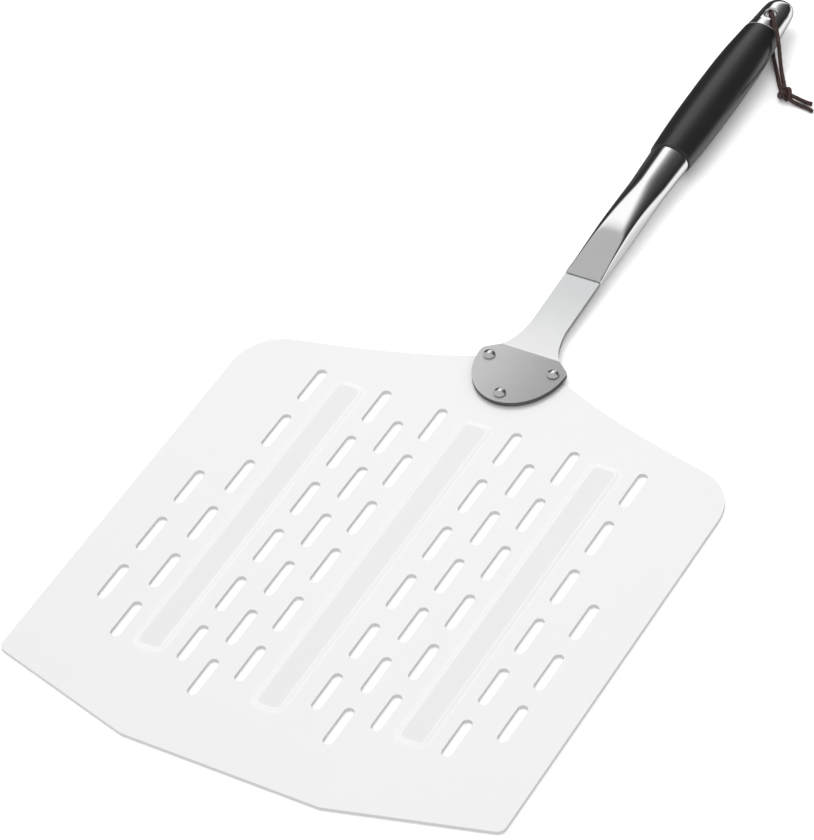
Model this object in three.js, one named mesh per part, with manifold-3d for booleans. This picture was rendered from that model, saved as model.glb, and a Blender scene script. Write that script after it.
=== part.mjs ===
// A pizza peel: a perforated sheet blade with three pressed ribs, a steel neck strap riveted on top of
// it, and a handle of a hollow polished bolster, a moulded grip and a cast end cap, drawn together by
// a tie rod. A thin lace through the end cap ends in a knot and can swing round the handle's end.
// Millimetres, +Z up. +Y runs from the blade's front edge to the handle's end, and X = 0 is the middle.
// The peel stands on the blade's flat underside at z = 0, with the origin midway along its length.

import * as THREE from "three";
import { mergeVertices } from "three/addons/utils/BufferGeometryUtils.js";
import Module from "manifold-3d";

const wasm = await Module();
wasm.setup();

// ---------------------------------------------------------------- driving dimensions

const LENGTH = 654;
const GAP = 0.3; // clearance between pieces that touch

// Blade
const BLADE_WIDTH = 305;
const BLADE_THICK = 2;
const FRONT_FLAT = 120; // width of the straight part of the front edge
const FRONT_RAKE = 24.5; // how far the front corners lie behind the front edge
const CORNER_RADIUS = 4;
const SHOULDER_RADIUS = 30;
const SHOULDER_STATION = 263.5; // where the straight sides end
const BLADE_BACK = 329.5;
const BLADE_BACK_HALF = 20;

// Slots: columns across the blade, each at +x and -x
const SLOT_LENGTH = 27;
const SLOT_WIDTH = 6;
const SLOT_PITCH = 38.9; // from one row to the next
const SLOT_FIRST = 264.5; // station of the rearmost row
const SLOT_STAGGER = 18.4; // how far the staggered columns are moved to the front
const SLOT_COLUMNS = [
  { x: 23.4, first: 0, count: 6, staggered: false },
  { x: 41.2, first: 0, count: 6, staggered: true },
  { x: 59.1, first: 0, count: 6, staggered: false },
  { x: 100.8, first: 0, count: 6, staggered: false },
  { x: 122.1, first: 2, count: 3, staggered: true },
];

// Ribs pressed up out of the blade
const RIB_WIDTH = 20;
const RIB_RISE = 0.6;
const RIB_EDGE = 3.4; // width of a rib's rounded edge
const RIB_CORNER = 6;
const RIBS = [
  { x: -80, from: 55, to: 275 },
  { x: 0, from: 44.5, to: 276 },
  { x: 80, from: 55, to: 275 },
];

// Neck strap: foot on the blade, neck up to the bolster, tang inside it
const STRAP_THICK = 2.5;
const FOOT_HALF_WIDTH = 27;
const FOOT_LENGTH = 33; // from its widest place to its tip
const FOOT_STATION = 325.5; // where the foot is widest
const NECK_ROOT = { x: 18, station: 334.5 };
const NECK_HALF = 11;
const NECK_FLARE_END = 356;
const NECK_RISE = 3.3; // degrees, from the foot's bend
const TANG_HALF = 7;
const TANG_LENGTH = 93;

// Rivets through foot and blade
const RIVET_SHANK = 4;
const RIVET_HEAD = 7;
const RIVET_DOME = 2;
const RIVET_FLUSH = 7.2; // set head, countersunk into the underside
const RIVETS = [
  { name: "rivet_left", x: -20.2, station: 323.5 },
  { name: "rivet_right", x: 20.2, station: 323.5 },
  { name: "rivet_front", x: 0, station: 299 },
];

// Handle, along its own axis, which rises gently from the bolster's rear end
const BOLSTER_FRONT = 397;
const GRIP_FRONT = 504;
const GRIP_REAR = 624;
const HANDLE_HEIGHT = 10.9; // of the axis at the front of the grip
const HANDLE_TILT = 1.03; // degrees
const WALL = 1.2; // of the bolster
// Sections: station, half width, half height, and how far the centre lies below the handle's axis
const BOLSTER = [
  { at: 397, half: 11.2, tall: 2.2, drop: 1.85 },
  { at: 403, half: 10.8, tall: 3.0, drop: 1.8 },
  { at: 410, half: 10.5, tall: 4.0, drop: 1.6 },
  { at: 420, half: 10.3, tall: 5.3, drop: 1.3 },
  { at: 434, half: 10.2, tall: 6.8, drop: 0.8 },
  { at: 450, half: 10.3, tall: 7.8, drop: 0.4 },
  { at: 466, half: 10.8, tall: 8.4, drop: 0.2 },
  { at: 484, half: 11.4, tall: 8.9, drop: 0 },
  { at: 504, half: 12.1, tall: 9.5, drop: 0 },
];
const GRIP = [
  { at: 504, half: 12.7, tall: 9.9, drop: 0 },
  { at: 508, half: 13.0, tall: 10.1, drop: 0 },
  { at: 520, half: 13.6, tall: 10.4, drop: 0 },
  { at: 535, half: 14.1, tall: 10.6, drop: 0 },
  { at: 560, half: 14.3, tall: 10.7, drop: 0 },
  { at: 585, half: 14.1, tall: 10.5, drop: 0 },
  { at: 600, half: 13.5, tall: 10.1, drop: 0 },
  { at: 612, half: 12.6, tall: 9.5, drop: 0 },
  { at: 624, half: 11.6, tall: 8.8, drop: 0 },
];
const CAP = [
  { at: 624, half: 11.4, tall: 8.6, drop: 0 },
  { at: 630, half: 10.7, tall: 8.1, drop: 0 },
  { at: 637, half: 10.1, tall: 7.6, drop: 0 },
  { at: 644, half: 9.6, tall: 7.1, drop: 0 },
  { at: 648, half: 8.9, tall: 6.5, drop: 0 },
  { at: 651, half: 7.5, tall: 5.4, drop: 0 },
  { at: 653, half: 5.3, tall: 3.8, drop: 0 },
  { at: 654, half: 2.6, tall: 1.9, drop: 0 },
];

// Inside the handle
const ROD_DIAMETER = 6;
const ROD_FRONT = 494.5;
const ROD_REAR = 629.5;
const BLOCK_FRONT = 474;
const BLOCK_STEP = 503.7; // where the block narrows to its spigot
const BLOCK_REAR = 518;
const SPIGOT_DIAMETER = 14;
const PIN_DIAMETER = 4;
const PIN_STATION = 483;
const CAP_SPIGOT_FRONT = 612;

// Hanging hole and lace
const HOLE_STATION = 636.5;
const HOLE_DIAMETER = 7;
const HOLE_MOUTH = 6.1; // height, from the handle's axis, where the hole starts to open out
const LACE_DIAMETER = 2.5;
const LACE_HEADING = -56.5; // degrees, the way it lies from the hole, from +X
const KNOT_DISTANCE = 56; // from the hole to the knot's middle
const KNOT_HALF = { along: 5.2, across: 4.8, up: 4.3 };

const COLOURS = {
  blade: { color: 0xe9eaea, roughness: 0.42, metalness: 1 },
  strap: { color: 0xb9babb, roughness: 0.34, metalness: 1 },
  polished: { color: 0xd8d8d9, roughness: 0.12, metalness: 1 },
  inner: { color: 0x9a9b9d, roughness: 0.5, metalness: 1 },
  grip: { color: 0x1a1a1c, roughness: 0.45, metalness: 0 },
  leather: { color: 0x4a2f2b, roughness: 0.7, metalness: 0 },
};

// ---------------------------------------------------------------- helpers

const radians = THREE.MathUtils.degToRad;

/** The y of a station, which is measured from the blade's front edge. */
const along = (station) => station - LENGTH / 2;

/** A closed geometry as a manifold solid. */
function solid(geometry) {
  const bare = geometry.clone();
  bare.deleteAttribute("normal");
  bare.deleteAttribute("uv");
  const merged = mergeVertices(bare, 1e-4);
  return new wasm.Manifold(
    new wasm.Mesh({
      numProp: 3,
      vertProperties: new Float32Array(merged.attributes.position.array),
      triVerts: new Uint32Array(merged.index.array),
    }),
  );
}

/** A manifold solid as a flat-shaded geometry. */
function geometryOf(manifold) {
  const mesh = manifold.getMesh();
  const geometry = new THREE.BufferGeometry();
  geometry.setAttribute("position", new THREE.BufferAttribute(mesh.vertProperties, 3));
  geometry.setIndex(new THREE.BufferAttribute(mesh.triVerts, 1));
  const flat = geometry.toNonIndexed();
  flat.computeVertexNormals();
  return flat;
}

/** A named mesh in one of the finishes. */
function piece(name, geometry, finish) {
  const mesh = new THREE.Mesh(geometry, new THREE.MeshStandardMaterial(COLOURS[finish]));
  mesh.name = name;
  return mesh;
}

/** An outline extruded upwards from z. */
function plate(shape, z, thick, curveSegments = 8) {
  const options = { depth: thick, bevelEnabled: false, curveSegments };
  return new THREE.ExtrudeGeometry(shape, options).translate(0, 0, z);
}

/** A round bar of one diameter along X, Y or Z, from one place on its axis to another. */
function bar(axis, diameter, from, to, x, y, z, sides = 18) {
  const radius = diameter / 2;
  const geometry = new THREE.CylinderGeometry(radius, radius, to - from, sides);
  geometry.translate(0, (from + to) / 2, 0);
  if (axis === "z") geometry.rotateX(Math.PI / 2);
  if (axis === "x") geometry.rotateZ(-Math.PI / 2);
  return geometry.translate(x, y, z);
}

/** An oval body through sections, in the handle's own frame, drawn in from its surface by inset. */
function ovalBody(sections, inset = 0, sides = 30) {
  const geometry = new THREE.CylinderGeometry(1, 1, 1, sides, sections.length - 1);
  const position = geometry.attributes.position;
  const last = sections.length - 1;
  for (let i = 0; i < position.count; i += 1) {
    const level = Math.round((position.getY(i) + 0.5) * last);
    const section = sections[level];
    position.setXYZ(
      i,
      position.getX(i) * (section.half - inset),
      section.at - GRIP_FRONT,
      -position.getZ(i) * (section.tall - inset) - section.drop,
    );
  }
  // the mirrored z turns the faces round, so each triangle's order is swapped
  const index = geometry.index;
  for (let i = 0; i < index.count; i += 3) {
    const kept = index.getX(i);
    index.setX(i, index.getX(i + 1));
    index.setX(i + 1, kept);
  }
  return geometry;
}

// ---------------------------------------------------------------- blade

/** The blade's outline: raked front corners, straight sides, round shoulders and a hollow back edge. */
function bladeOutline() {
  const half = BLADE_WIDTH / 2;
  const front = along(0);
  const flat = FRONT_FLAT / 2;
  const rake = new THREE.Vector2(half - flat, FRONT_RAKE).normalize();
  const cornerY = along(FRONT_RAKE);
  const shoulderX = half - SHOULDER_RADIUS;
  const shoulderY = along(SHOULDER_STATION);
  const shoulderEnd = radians(78);
  const curveX = shoulderX + SHOULDER_RADIUS * Math.cos(shoulderEnd);
  const curveY = shoulderY + SHOULDER_RADIUS * Math.sin(shoulderEnd);
  const backY = along(BLADE_BACK);
  const shape = new THREE.Shape();
  shape.moveTo(-flat, front);
  shape.lineTo(flat, front);
  shape.lineTo(half - rake.x * CORNER_RADIUS, cornerY - rake.y * CORNER_RADIUS);
  shape.quadraticCurveTo(half, cornerY, half, cornerY + CORNER_RADIUS);
  shape.lineTo(half, shoulderY);
  shape.absarc(shoulderX, shoulderY, SHOULDER_RADIUS, 0, shoulderEnd, false);
  shape.bezierCurveTo(curveX - 32, curveY + 6.7, 60, backY - 21, BLADE_BACK_HALF + 6, backY - 6);
  shape.quadraticCurveTo(BLADE_BACK_HALF, backY, BLADE_BACK_HALF - 8, backY);
  shape.lineTo(8 - BLADE_BACK_HALF, backY);
  shape.quadraticCurveTo(-BLADE_BACK_HALF, backY, -BLADE_BACK_HALF - 6, backY - 6);
  shape.bezierCurveTo(-60, backY - 21, 32 - curveX, curveY + 6.7, -curveX, curveY);
  shape.absarc(-shoulderX, shoulderY, SHOULDER_RADIUS, Math.PI - shoulderEnd, Math.PI, false);
  shape.lineTo(-half, cornerY + CORNER_RADIUS);
  shape.quadraticCurveTo(-half, cornerY, rake.x * CORNER_RADIUS - half, cornerY - rake.y * CORNER_RADIUS);
  shape.closePath();
  return shape;
}

/** A slot with round ends, running along Y. */
function slotPath(x, y) {
  const radius = SLOT_WIDTH / 2;
  const reach = SLOT_LENGTH / 2 - radius;
  const path = new THREE.Path();
  path.absarc(x, y + reach, radius, 0, Math.PI, false);
  path.absarc(x, y - reach, radius, Math.PI, 2 * Math.PI, false);
  path.closePath();
  return path;
}

/** Every slot's path. */
function slotPaths() {
  const paths = [];
  for (const column of SLOT_COLUMNS) {
    for (let row = column.first; row < column.first + column.count; row += 1) {
      const shift = column.staggered ? SLOT_STAGGER : 0;
      const y = along(SLOT_FIRST - row * SLOT_PITCH - shift);
      for (const side of [-1, 1]) paths.push(slotPath(side * column.x, y));
    }
  }
  return paths;
}

/** A rib's pad with rounded upper edges, drawn in by inset and topped at z = top. */
function ribPad(rib, inset, top) {
  const half = RIB_WIDTH / 2 - inset;
  const from = along(rib.from) + inset;
  const to = along(rib.to) - inset;
  const radius = RIB_CORNER - inset;
  const shape = new THREE.Shape();
  shape.moveTo(rib.x - half + radius, from);
  shape.lineTo(rib.x + half - radius, from);
  shape.absarc(rib.x + half - radius, from + radius, radius, -Math.PI / 2, 0, false);
  shape.absarc(rib.x + half - radius, to - radius, radius, 0, Math.PI / 2, false);
  shape.absarc(rib.x - half + radius, to - radius, radius, Math.PI / 2, Math.PI, false);
  shape.absarc(rib.x - half + radius, from + radius, radius, Math.PI, 1.5 * Math.PI, false);
  const geometry = new THREE.ExtrudeGeometry(shape, {
    depth: 0.6,
    bevelEnabled: true,
    bevelThickness: RIB_RISE,
    bevelSize: RIB_EDGE,
    bevelOffset: -RIB_EDGE,
    bevelSegments: 2,
    curveSegments: 2,
  });
  return geometry.translate(0, 0, top - RIB_RISE - 0.6);
}

/** The cutter for a rivet's hole and the countersink under it. */
function rivetCutter(rivet) {
  const radius = RIVET_SHANK / 2 + GAP;
  const wide = RIVET_FLUSH / 2 + GAP;
  const profile = [
    [0, -1],
    [wide, -1],
    [wide, 0],
    [radius, wide - radius],
    [radius, 20],
    [0, 20],
  ].map(([r, z]) => new THREE.Vector2(r, z));
  const geometry = new THREE.LatheGeometry(profile, 16).rotateX(Math.PI / 2);
  return geometry.translate(rivet.x, along(rivet.station), 0);
}

function blade() {
  const outline = bladeOutline();
  outline.holes = slotPaths();
  let body = solid(plate(outline, 0, BLADE_THICK, 4));
  for (const rib of RIBS) {
    body = body.add(solid(ribPad(rib, 0, BLADE_THICK + RIB_RISE)));
  }
  for (const rib of RIBS) {
    body = body.subtract(solid(ribPad(rib, 1.2, RIB_RISE)));
  }
  for (const rivet of RIVETS) body = body.subtract(solid(rivetCutter(rivet)));
  return piece("blade", geometryOf(body), "blade");
}

// ---------------------------------------------------------------- neck strap and rivets

/** The foot's outline with the root of the neck, on the blade. */
function footOutline() {
  const y = along(FOOT_STATION);
  const rootY = along(NECK_ROOT.station);
  const shape = new THREE.Shape();
  shape.absellipse(0, y, FOOT_HALF_WIDTH, FOOT_LENGTH, Math.PI, 2 * Math.PI, false);
  shape.quadraticCurveTo(FOOT_HALF_WIDTH, y + 3, FOOT_HALF_WIDTH - 3, y + 4.5);
  shape.lineTo(NECK_ROOT.x, rootY);
  shape.lineTo(-NECK_ROOT.x, rootY);
  shape.lineTo(3 - FOOT_HALF_WIDTH, y + 4.5);
  shape.quadraticCurveTo(-FOOT_HALF_WIDTH, y + 3, -FOOT_HALF_WIDTH, y);
  return shape;
}

/** The neck's outline from the bend on, with y measured from the bend. */
function neckOutline() {
  const flare = NECK_FLARE_END - NECK_ROOT.station;
  const end = BOLSTER_FRONT - GAP - NECK_ROOT.station;
  const shape = new THREE.Shape();
  shape.moveTo(-NECK_ROOT.x, -3);
  shape.lineTo(NECK_ROOT.x, -3);
  shape.lineTo(NECK_ROOT.x, 0);
  shape.bezierCurveTo(NECK_ROOT.x - 4, 5, NECK_HALF + 0.8, flare * 0.6, NECK_HALF, flare);
  shape.lineTo(NECK_HALF, end);
  shape.lineTo(-NECK_HALF, end);
  shape.lineTo(-NECK_HALF, flare);
  shape.bezierCurveTo(-NECK_HALF - 0.8, flare * 0.6, 4 - NECK_ROOT.x, 5, -NECK_ROOT.x, 0);
  shape.closePath();
  return shape;
}

/** The tang's outline, with y measured from the neck's end. */
function tangOutline() {
  const shape = new THREE.Shape();
  shape.moveTo(-TANG_HALF, -4);
  shape.lineTo(TANG_HALF, -4);
  shape.lineTo(TANG_HALF, TANG_LENGTH - 3);
  shape.lineTo(TANG_HALF - 3, TANG_LENGTH);
  shape.lineTo(3 - TANG_HALF, TANG_LENGTH);
  shape.lineTo(-TANG_HALF, TANG_LENGTH - 3);
  shape.closePath();
  return shape;
}

/** Where the neck ends and the tang begins, at the strap's underside. */
function neckEnd() {
  const rise = radians(NECK_RISE);
  const length = BOLSTER_FRONT - GAP - NECK_ROOT.station;
  const y = along(NECK_ROOT.station) + length * Math.cos(rise);
  return { y, z: BLADE_THICK + GAP + length * Math.sin(rise) };
}

function neckStrap() {
  const footZ = BLADE_THICK + GAP;
  const rise = radians(NECK_RISE);
  const end = neckEnd();
  let body = solid(plate(footOutline(), footZ, STRAP_THICK, 10));
  const neck = plate(neckOutline(), 0, STRAP_THICK, 6).rotateX(rise);
  body = body.add(solid(neck.translate(0, along(NECK_ROOT.station), footZ)));
  const tang = plate(tangOutline(), 0, STRAP_THICK).rotateX(radians(HANDLE_TILT));
  body = body.add(solid(tang.translate(0, end.y, end.z)));
  for (const rivet of RIVETS) {
    const hole = bar("z", RIVET_SHANK + 2 * GAP, -5, 20, rivet.x, along(rivet.station), 0);
    body = body.subtract(solid(hole));
  }
  const pinHole = bar("z", PIN_DIAMETER + 2 * GAP, 0, 30, 0, along(PIN_STATION), 0);
  body = body.subtract(solid(pinHole));
  return piece("neck_strap", geometryOf(body), "strap");
}

/** A rivet with a domed head above the foot and a flush set head in the blade's underside. */
function rivetPiece(rivet) {
  const shank = RIVET_SHANK / 2;
  const flush = RIVET_FLUSH / 2;
  const seat = BLADE_THICK + 2 * GAP + STRAP_THICK;
  const head = RIVET_HEAD / 2;
  const profile = [new THREE.Vector2(0, 0.05), new THREE.Vector2(flush, 0.05)];
  profile.push(new THREE.Vector2(shank, flush - shank + 0.05), new THREE.Vector2(shank, seat));
  const steps = 4;
  for (let i = 0; i <= steps; i += 1) {
    const angle = (i / steps) * (Math.PI / 2);
    profile.push(new THREE.Vector2(head * Math.cos(angle), seat + RIVET_DOME * Math.sin(angle)));
  }
  profile[profile.length - 1].x = 0;
  const geometry = new THREE.LatheGeometry(profile, 16).rotateX(Math.PI / 2);
  const body = solid(geometry.translate(rivet.x, along(rivet.station), 0));
  return piece(rivet.name, geometryOf(body), "polished");
}

// ---------------------------------------------------------------- handle, in its own frame

/** A station's y in the handle's own frame. */
const local = (station) => station - GRIP_FRONT;

/** A cutter or bar along the handle's axis between two stations. */
const axial = (diameter, from, to) => bar("y", diameter, local(from), local(to), 0, 0, 0);

/** A slot round the tang between two stations. */
function tangSlot(from, to) {
  const end = neckEnd();
  const fall = (along(GRIP_FRONT) - end.y) * Math.tan(radians(HANDLE_TILT));
  const middle = end.z + STRAP_THICK / 2 - (HANDLE_HEIGHT - fall);
  const slot = new THREE.BoxGeometry(2 * (TANG_HALF + GAP), to - from, STRAP_THICK + 2 * GAP);
  return solid(slot.translate(0, local((from + to) / 2), middle));
}

/** The hollow bolster, closed at its front but for the tang's slot. */
function bolster() {
  const last = BOLSTER[BOLSTER.length - 1];
  const lining = [...BOLSTER.slice(1, -1), { ...last, at: last.at + 1 }];
  let body = solid(ovalBody(BOLSTER)).subtract(solid(ovalBody(lining, WALL)));
  body = body.subtract(tangSlot(BOLSTER_FRONT - 1, BOLSTER[1].at + 1));
  return piece("bolster", geometryOf(body), "polished");
}

/** Sections of a plug that fills the bolster between two stations, taken between its own sections. */
function plugSections(from, to) {
  const section = (at) => {
    const next = BOLSTER.findIndex((s) => s.at >= at);
    const a = BOLSTER[next - 1];
    const b = BOLSTER[next];
    const t = (at - a.at) / (b.at - a.at);
    const mix = (key) => a[key] + (b[key] - a[key]) * t;
    return { at, half: mix("half"), tall: mix("tall"), drop: mix("drop") };
  };
  const inner = BOLSTER.filter((s) => s.at > from && s.at < to);
  return [section(from), ...inner, section(to)];
}

/** The block that holds the tang in the bolster's rear end and takes the tie rod. */
function tangBlock() {
  const plug = ovalBody(plugSections(BLOCK_FRONT, BLOCK_STEP), WALL + GAP, 28);
  let body = solid(plug).add(solid(axial(SPIGOT_DIAMETER, BLOCK_STEP - 2, BLOCK_REAR)));
  const tangTip = BOLSTER_FRONT + TANG_LENGTH;
  body = body.subtract(tangSlot(BLOCK_FRONT - 1, tangTip + GAP));
  body = body.subtract(solid(axial(ROD_DIAMETER + 2 * GAP, ROD_FRONT - GAP, BLOCK_REAR + 1)));
  const hole = bar("z", PIN_DIAMETER + 2 * GAP, -20, 20, 0, local(PIN_STATION), 0);
  return piece("tang_block", geometryOf(body.subtract(solid(hole))), "inner");
}

function tangPin() {
  const reach = 7.2;
  return piece("tang_pin", bar("z", PIN_DIAMETER, -reach, reach, 0, local(PIN_STATION), 0), "inner");
}

function tieRod() {
  return piece("tie_rod", axial(ROD_DIAMETER, ROD_FRONT, ROD_REAR), "inner");
}

function grip() {
  const trimmed = GRIP.map((section) => ({ ...section }));
  trimmed[0].at += GAP;
  trimmed[trimmed.length - 1].at -= GAP;
  const wide = SPIGOT_DIAMETER + 2 * GAP;
  let body = solid(ovalBody(trimmed));
  body = body.subtract(solid(axial(ROD_DIAMETER + 1, GRIP_FRONT - 1, GRIP_REAR + 1)));
  body = body.subtract(solid(axial(wide, GRIP_FRONT - 1, BLOCK_REAR + GAP)));
  body = body.subtract(solid(axial(wide, CAP_SPIGOT_FRONT - GAP, GRIP_REAR + 1)));
  return piece("grip", geometryOf(body), "grip");
}

/** The cutter for the hanging hole, with mouths that open out at 45 degrees. */
function hangingHole() {
  const radius = HOLE_DIAMETER / 2;
  const reach = 12;
  const wide = radius + reach - HOLE_MOUTH;
  const profile = [
    [0, -reach],
    [wide, -reach],
    [radius, -HOLE_MOUTH],
    [radius, HOLE_MOUTH],
    [wide, reach],
    [0, reach],
  ].map(([r, z]) => new THREE.Vector2(r, z));
  const geometry = new THREE.LatheGeometry(profile, 24).rotateX(Math.PI / 2);
  return geometry.translate(0, local(HOLE_STATION), 0);
}

function endCap() {
  let body = solid(ovalBody(CAP)).add(solid(axial(SPIGOT_DIAMETER, CAP_SPIGOT_FRONT, GRIP_REAR + 2)));
  body = body.subtract(solid(axial(ROD_DIAMETER + 2 * GAP, CAP_SPIGOT_FRONT - 1, ROD_REAR + GAP)));
  return piece("end_cap", geometryOf(body.subtract(solid(hangingHole()))), "polished");
}

/** The handle's pieces in one tilted group. */
function handle() {
  const group = new THREE.Group();
  group.add(bolster(), tangBlock(), tangPin(), tieRod(), grip(), endCap());
  group.position.set(0, along(GRIP_FRONT), HANDLE_HEIGHT);
  group.rotation.x = radians(HANDLE_TILT);
  return group;
}

// ---------------------------------------------------------------- lace

/** A place in the lace's own frame: out from the hole, to the left of that, and up. */
function laceFrame(out, left, up) {
  const heading = radians(LACE_HEADING);
  const x = out * Math.cos(heading) - left * Math.sin(heading);
  const y = out * Math.sin(heading) + left * Math.cos(heading);
  return new THREE.Vector3(x, along(HOLE_STATION) + y, up);
}

// Routes, chosen by hand: out from the hole, left, up
const UPPER_LEG = [
  [0, 0, 13.6],
  [0, 0, 15.7],
  [0.1, 0, 17.4],
  [0.6, 0.05, 19.3],
  [1.9, 0.15, 21.1],
  [4, 0.3, 22.4],
  [6.5, 0.45, 22.95],
  [10, 0.7, 23.05],
  [14, 0.9, 22.75],
  [18, 1.1, 21.8],
  [21.5, 1.25, 19.9],
  [24.2, 1.35, 17],
  [26, 1.4, 13.4],
  [27.6, 1.4, 9.6],
  [29.6, 1.4, 5.8],
  [32.4, 1.4, 3],
  [36, 1.4, 1.7],
  [40, 1.4, 1.4],
  [45, 1.4, 1.5],
  [49.7, 1.2, 2.4],
];
const LOWER_LEG = [
  [0, 0, 13.1],
  [0, 0, 10.7],
  [0, 0, 8.2],
  [0.2, 0, 5.9],
  [1, -0.1, 3.9],
  [2.6, -0.25, 2.3],
  [5, -0.5, 1.6],
  [9, -0.9, 1.4],
  [14, -1.3, 1.4],
  [20, -1.5, 1.4],
  [26, -1.4, 1.4],
  [32, -1.4, 1.4],
  [38, -1.4, 1.4],
  [44, -1.4, 1.5],
  [49.7, -1.2, 2.2],
];
const LONG_TAIL = [
  [60.9, 3.3, 2.8],
  [62.6, 5.2, 2],
  [64.6, 7.6, 1.5],
  [66.8, 10.2, 1.4],
  [69.2, 12.6, 1.4],
  [71.8, 14.6, 1.4],
];
const SHORT_TAIL = [
  [58.6, 5.5, 3],
  [59.9, 7.8, 2.2],
  [61.6, 10.2, 1.6],
  [63.5, 12.6, 1.4],
  [65.2, 15.2, 1.4],
];

/** A length of lace along a route. */
function laceTube(name, route, steps) {
  const points = route.map(([out, left, up]) => laceFrame(out, left, up));
  const curve = new THREE.CatmullRomCurve3(points, false, "centripetal");
  const section = new THREE.Shape();
  section.absarc(0, 0, LACE_DIAMETER / 2, 0, 2 * Math.PI, false);
  const options = { steps, extrudePath: curve, curveSegments: 8, bevelEnabled: false };
  return piece(name, geometryOf(solid(new THREE.ExtrudeGeometry(section, options))), "leather");
}

function laceKnot() {
  const geometry = new THREE.SphereGeometry(1, 14, 9);
  geometry.scale(KNOT_HALF.along, KNOT_HALF.across, KNOT_HALF.up);
  geometry.rotateZ(radians(LACE_HEADING));
  const place = laceFrame(KNOT_DISTANCE, 0.4, KNOT_HALF.up + 0.15);
  const body = solid(geometry.translate(place.x, place.y, place.z));
  return piece("lace_knot", geometryOf(body), "leather");
}

/** The lace as it lies: two legs out of the hole, the knot and two cut tails. */
function lace() {
  const group = new THREE.Group();
  group.add(laceTube("lace_upper_leg", UPPER_LEG, 20));
  group.add(laceTube("lace_lower_leg", LOWER_LEG, 18));
  group.add(laceKnot());
  group.add(laceTube("lace_long_tail", LONG_TAIL, 6));
  group.add(laceTube("lace_short_tail", SHORT_TAIL, 5));
  return group;
}

// ---------------------------------------------------------------- the peel

const peel = new THREE.Group();
peel.add(blade(), neckStrap(), ...RIVETS.map(rivetPiece), handle(), lace());

export default peel;
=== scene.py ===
"""Looks of a perforated pizza peel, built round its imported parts.

The blade is one pressed sheet, the neck strap is cut and bent from flat bar, and the handle is a polished
bolster, a moulded grip and a polished end cap with a leather lace. Builders work in millimetres in the
peel's own frame: +Y towards the handle, +Z up, the blade's underside at z = 0. Each finished mesh is
turned to metres, with its place in its vertices.
"""

import logging
import math
from dataclasses import dataclass
from enum import Enum
from typing import Callable, Sequence

import bmesh
import bpy
from mathutils import Matrix, Vector
from mathutils.geometry import interpolate_bezier


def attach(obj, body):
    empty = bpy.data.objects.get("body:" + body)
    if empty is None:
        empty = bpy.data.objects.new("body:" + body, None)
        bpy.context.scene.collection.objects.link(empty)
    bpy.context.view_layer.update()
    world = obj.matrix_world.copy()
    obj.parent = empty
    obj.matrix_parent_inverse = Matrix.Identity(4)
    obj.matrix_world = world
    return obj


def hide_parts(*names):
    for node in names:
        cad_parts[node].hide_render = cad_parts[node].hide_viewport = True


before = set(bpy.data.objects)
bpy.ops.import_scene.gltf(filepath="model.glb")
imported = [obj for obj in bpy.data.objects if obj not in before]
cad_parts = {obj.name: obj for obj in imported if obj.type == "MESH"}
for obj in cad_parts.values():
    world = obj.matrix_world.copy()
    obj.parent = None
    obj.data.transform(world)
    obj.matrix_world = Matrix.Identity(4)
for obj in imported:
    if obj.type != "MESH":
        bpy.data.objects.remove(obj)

MM = 0.001
LENGTH = 654.0  # of the whole peel, in millimetres
LOG = logging.getLogger("peel")

BMesh = bmesh.types.BMesh
BMFace = bmesh.types.BMFace
BMEdge = bmesh.types.BMEdge
BMVert = bmesh.types.BMVert
Thing = bpy.types.Object
Point2 = tuple[float, float]
Route = Sequence[tuple[float, float, float]]


class Slot(Enum):
    """The record's material slots."""

    BLADE = "blade_sheet"
    STRAP = "strap_steel"
    RIVET = "rivet_steel"
    POLISHED = "polished_steel"
    INNER = "inner_steel"
    GRIP = "grip_plastic"
    LACE = "lace_leather"


class Body(Enum):
    """The two bodies that move against each other."""

    PEEL = "peel"
    LACE = "lace"


class Noise(Enum):
    """How a noise pattern's fine levels are added up."""

    EVEN = "FBM"
    RIDGED = "RIDGED_MULTIFRACTAL"


def along(station: float) -> float:
    """The y of a station, which is measured from the blade's front edge."""
    return station - LENGTH / 2


# ---- shader tools


class Value:
    """A number that varies over a surface: an output socket with arithmetic on it."""

    def __init__(self, shader: "Shader", socket: bpy.types.NodeSocket) -> None:
        """Wraps an output socket of one of the shader's nodes."""
        self.shader = shader
        self.socket = socket

    def _math(self, operation: str, first: "Value | float", second: "Value | float") -> "Value":
        """Adds a Math node with two operands."""
        return self.shader.node("ShaderNodeMath", {"operation": operation}, {0: first, 1: second})

    def __add__(self, other: "Value | float") -> "Value":
        """The sum."""
        return self._math("ADD", self, other)

    __radd__ = __add__

    def __mul__(self, other: "Value | float") -> "Value":
        """The product."""
        return self._math("MULTIPLY", self, other)

    __rmul__ = __mul__

    def __sub__(self, other: "Value | float") -> "Value":
        """The difference."""
        return self._math("SUBTRACT", self, other)

    def __rsub__(self, other: float) -> "Value":
        """A number less this."""
        return self._math("SUBTRACT", other, self)

    def __truediv__(self, other: "Value | float") -> "Value":
        """The quotient."""
        return self._math("DIVIDE", self, other)

    def ramp(self, low: float, high: float, to_low: float = 0.0, to_high: float = 1.0) -> "Value":
        """Maps low..high smoothly to to_low..to_high, held at both ends."""
        sockets = {"Value": self, "From Min": low, "From Max": high, "To Min": to_low, "To Max": to_high}
        return self.shader.node("ShaderNodeMapRange", {"interpolation_type": "SMOOTHSTEP"}, sockets)


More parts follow.
